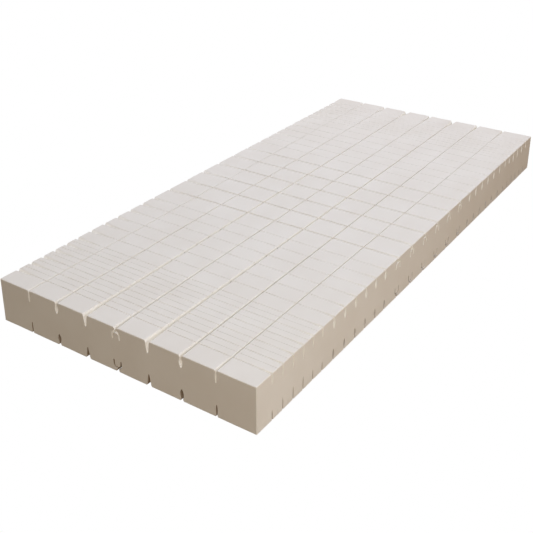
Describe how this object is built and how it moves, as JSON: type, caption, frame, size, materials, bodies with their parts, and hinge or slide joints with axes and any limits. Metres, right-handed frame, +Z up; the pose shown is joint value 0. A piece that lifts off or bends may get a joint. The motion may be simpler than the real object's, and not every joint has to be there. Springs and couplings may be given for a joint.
{
  "type": "pressure relief mattress core",
  "caption": "Flat foam mattress core, cut on both faces into a grid of cells, that bends at its cuts to follow an adjustable bed.",
  "frame": {"origin": "centre of the underside's bounding rectangle, at the underside", "axes": "+Y from the foot end to the head end, +Z up from the underside to the lying face, +X across the width"},
  "size_m": [0.9, 2, 0.14],
  "materials": {
    "foam": "matte open-cell polyurethane foam, off-white, with fine pores and a soft cut surface"
  },
  "bodies": {
    "foot_1": {"foot_row_1": "foam"},
    "foot_2": {"foot_row_2": "foam"},
    "foot_3": {"foot_row_3": "foam"},
    "foot_4": {"foot_row_4": "foam"},
    "foot_5": {"foot_row_5": "foam"},
    "foot_6": {"foot_row_6": "foam"},
    "foot_7": {"foot_row_7": "foam"},
    "leg_1": {"leg_row_1": "foam"},
    "leg_2": {"leg_row_2": "foam"},
    "leg_3": {"leg_row_3": "foam"},
    "leg_4": {"leg_row_4": "foam"},
    "leg_5": {"leg_row_5": "foam"},
    "thigh_1": {"thigh_row_1": "foam"},
    "thigh_2": {"thigh_row_2": "foam"},
    "thigh_3": {"thigh_row_3": "foam"},
    "seat": {"seat_row": "foam"},
    "lumbar_1": {"lumbar_row_1": "foam"},
    "lumbar_2": {"lumbar_row_2": "foam"},
    "lumbar_3": {"lumbar_row_3": "foam"},
    "back_1": {"back_row_1": "foam"},
    "back_2": {"back_row_2": "foam"},
    "back_3": {"back_row_3": "foam"},
    "back_4": {"back_row_4": "foam"},
    "back_5": {"back_row_5": "foam"},
    "head_1": {"head_row_1": "foam"},
    "head_2": {"head_row_2": "foam"},
    "head_3": {"head_row_3": "foam"},
    "head_4": {"head_row_4": "foam"},
    "head_5": {"head_row_5": "foam"},
    "head_6": {"head_row_6": "foam"},
    "head_7": {"head_row_7": "foam"}
  },
  "joints": [
    {"name": "back_bend", "type": "hinge", "parent": "seat", "child": "lumbar_1", "pos_m": [0, 0.0485, 0.1225], "axis": [1, 0, 0], "range_deg": [0, 14], "stiffness_Nm_per_rad": 8},
    {"name": "back_bend_2", "type": "hinge", "parent": "lumbar_1", "child": "lumbar_2", "pos_m": [0, 0.1455, 0.1225], "axis": [1, 0, 0], "range_deg": [0, 14.01], "stiffness_Nm_per_rad": 8},
    {"name": "back_bend_3", "type": "hinge", "parent": "lumbar_2", "child": "lumbar_3", "pos_m": [0, 0.2425, 0.1225], "axis": [1, 0, 0], "range_deg": [0, 14.01], "stiffness_Nm_per_rad": 8},
    {"name": "back_bend_4", "type": "hinge", "parent": "lumbar_3", "child": "back_1", "pos_m": [0, 0.328, 0.102], "axis": [1, 0, 0], "range_deg": [0, 4.68], "stiffness_Nm_per_rad": 13},
    {"name": "back_bend_5", "type": "hinge", "parent": "back_1", "child": "back_2", "pos_m": [0, 0.389, 0.102], "axis": [1, 0, 0], "range_deg": [0, 4.68], "stiffness_Nm_per_rad": 13},
    {"name": "back_bend_6", "type": "hinge", "parent": "back_2", "child": "back_3", "pos_m": [0, 0.45, 0.102], "axis": [1, 0, 0], "range_deg": [0, 4.68], "stiffness_Nm_per_rad": 13},
    {"name": "back_bend_7", "type": "hinge", "parent": "back_3", "child": "back_4", "pos_m": [0, 0.511, 0.102], "axis": [1, 0, 0], "range_deg": [0, 4.68], "stiffness_Nm_per_rad": 13},
    {"name": "back_bend_8", "type": "hinge", "parent": "back_4", "child": "back_5", "pos_m": [0, 0.572, 0.102], "axis": [1, 0, 0], "range_deg": [0, 4.68], "stiffness_Nm_per_rad": 13},
    {"name": "back_bend_9", "type": "hinge", "parent": "back_5", "child": "head_1", "pos_m": [0, 0.633, 0.102], "axis": [1, 0, 0], "range_deg": [0, 4.68], "stiffness_Nm_per_rad": 13},
    {"name": "head_bend", "type": "hinge", "parent": "head_1", "child": "head_2", "pos_m": [0, 0.693, 0.102], "axis": [1, 0, 0], "range_deg": [0, 4], "stiffness_Nm_per_rad": 16},
    {"name": "head_bend_2", "type": "hinge", "parent": "head_2", "child": "head_3", "pos_m": [0, 0.741, 0.102], "axis": [1, 0, 0], "range_deg": [0, 4.01], "stiffness_Nm_per_rad": 16},
    {"name": "head_bend_3", "type": "hinge", "parent": "head_3", "child": "head_4", "pos_m": [0, 0.789, 0.102], "axis": [1, 0, 0], "range_deg": [0, 4.01], "stiffness_Nm_per_rad": 16},
    {"name": "head_bend_4", "type": "hinge", "parent": "head_4", "child": "head_5", "pos_m": [0, 0.837, 0.102], "axis": [1, 0, 0], "range_deg": [0, 4.01], "stiffness_Nm_per_rad": 16},
    {"name": "head_bend_5", "type": "hinge", "parent": "head_5", "child": "head_6", "pos_m": [0, 0.885, 0.102], "axis": [1, 0, 0], "range_deg": [0, 4.01], "stiffness_Nm_per_rad": 16},
    {"name": "head_bend_6", "type": "hinge", "parent": "head_6", "child": "head_7", "pos_m": [0, 0.933, 0.102], "axis": [1, 0, 0], "range_deg": [0, 4.01], "stiffness_Nm_per_rad": 16},
    {"name": "thigh_bend", "type": "hinge", "parent": "seat", "child": "thigh_3", "pos_m": [0, -0.0485, 0.1225], "axis": [-1, 0, 0], "range_deg": [0, 15], "stiffness_Nm_per_rad": 8},
    {"name": "thigh_bend_2", "type": "hinge", "parent": "thigh_3", "child": "thigh_2", "pos_m": [0, -0.1455, 0.1225], "axis": [-1, 0, 0], "range_deg": [0, 15.01], "stiffness_Nm_per_rad": 8},
    {"name": "knee_bend", "type": "hinge", "parent": "thigh_2", "child": "thigh_1", "pos_m": [0, -0.2425, 0.0175], "axis": [1, 0, 0], "range_deg": [0, 15], "stiffness_Nm_per_rad": 8},
    {"name": "knee_bend_2", "type": "hinge", "parent": "thigh_1", "child": "leg_5", "pos_m": [0, -0.328, 0.038], "axis": [1, 0, 0], "range_deg": [0, 5.01], "stiffness_Nm_per_rad": 13},
    {"name": "knee_bend_3", "type": "hinge", "parent": "leg_5", "child": "leg_4", "pos_m": [0, -0.389, 0.038], "axis": [1, 0, 0], "range_deg": [0, 5.01], "stiffness_Nm_per_rad": 13},
    {"name": "knee_bend_4", "type": "hinge", "parent": "leg_4", "child": "leg_3", "pos_m": [0, -0.45, 0.038], "axis": [1, 0, 0], "range_deg": [0, 5.01], "stiffness_Nm_per_rad": 13},
    {"name": "knee_bend_5", "type": "hinge", "parent": "leg_3", "child": "leg_2", "pos_m": [0, -0.511, 0.038], "axis": [1, 0, 0], "range_deg": [0, 5.01], "stiffness_Nm_per_rad": 13},
    {"name": "knee_bend_6", "type": "hinge", "parent": "leg_2", "child": "leg_1", "pos_m": [0, -0.572, 0.038], "axis": [1, 0, 0], "range_deg": [0, 5.01], "stiffness_Nm_per_rad": 13},
    {"name": "knee_bend_7", "type": "hinge", "parent": "leg_1", "child": "foot_7", "pos_m": [0, -0.633, 0.038], "axis": [1, 0, 0], "range_deg": [0, 5.01], "stiffness_Nm_per_rad": 13},
    {"name": "foot_bend", "type": "hinge", "parent": "foot_7", "child": "foot_6", "pos_m": [0, -0.693, 0.102], "axis": [-1, 0, 0], "range_deg": [0, 4], "stiffness_Nm_per_rad": 16},
    {"name": "foot_bend_2", "type": "hinge", "parent": "foot_6", "child": "foot_5", "pos_m": [0, -0.741, 0.102], "axis": [-1, 0, 0], "range_deg": [0, 4.01], "stiffness_Nm_per_rad": 16},
    {"name": "foot_bend_3", "type": "hinge", "parent": "foot_5", "child": "foot_4", "pos_m": [0, -0.789, 0.102], "axis": [-1, 0, 0], "range_deg": [0, 4.01], "stiffness_Nm_per_rad": 16},
    {"name": "foot_bend_4", "type": "hinge", "parent": "foot_4", "child": "foot_3", "pos_m": [0, -0.837, 0.102], "axis": [-1, 0, 0], "range_deg": [0, 4.01], "stiffness_Nm_per_rad": 16},
    {"name": "foot_bend_5", "type": "hinge", "parent": "foot_3", "child": "foot_2", "pos_m": [0, -0.885, 0.102], "axis": [-1, 0, 0], "range_deg": [0, 4.01], "stiffness_Nm_per_rad": 16},
    {"name": "foot_bend_6", "type": "hinge", "parent": "foot_2", "child": "foot_1", "pos_m": [0, -0.933, 0.102], "axis": [-1, 0, 0], "range_deg": [0, 4.01], "stiffness_Nm_per_rad": 16}
  ],
  "couplings": [
    {"joint": "back_bend_2", "follows": "back_bend", "ratio": 1},
    {"joint": "back_bend_3", "follows": "back_bend", "ratio": 1},
    {"joint": "back_bend_4", "follows": "back_bend", "ratio": 0.33333},
    {"joint": "back_bend_5", "follows": "back_bend", "ratio": 0.33333},
    {"joint": "back_bend_6", "follows": "back_bend", "ratio": 0.33333},
    {"joint": "back_bend_7", "follows": "back_bend", "ratio": 0.33333},
    {"joint": "back_bend_8", "follows": "back_bend", "ratio": 0.33333},
    {"joint": "back_bend_9", "follows": "back_bend", "ratio": 0.33333},
    {"joint": "head_bend_2", "follows": "head_bend", "ratio": 1},
    {"joint": "head_bend_3", "follows": "head_bend", "ratio": 1},
    {"joint": "head_bend_4", "follows": "head_bend", "ratio": 1},
    {"joint": "head_bend_5", "follows": "head_bend", "ratio": 1},
    {"joint": "head_bend_6", "follows": "head_bend", "ratio": 1},
    {"joint": "thigh_bend_2", "follows": "thigh_bend", "ratio": 1},
    {"joint": "knee_bend_2", "follows": "knee_bend", "ratio": 0.33333},
    {"joint": "knee_bend_3", "follows": "knee_bend", "ratio": 0.33333},
    {"joint": "knee_bend_4", "follows": "knee_bend", "ratio": 0.33333},
    {"joint": "knee_bend_5", "follows": "knee_bend", "ratio": 0.33333},
    {"joint": "knee_bend_6", "follows": "knee_bend", "ratio": 0.33333},
    {"joint": "knee_bend_7", "follows": "knee_bend", "ratio": 0.33333},
    {"joint": "foot_bend_2", "follows": "foot_bend", "ratio": 1},
    {"joint": "foot_bend_3", "follows": "foot_bend", "ratio": 1},
    {"joint": "foot_bend_4", "follows": "foot_bend", "ratio": 1},
    {"joint": "foot_bend_5", "follows": "foot_bend", "ratio": 1},
    {"joint": "foot_bend_6", "follows": "foot_bend", "ratio": 1}
  ]
}
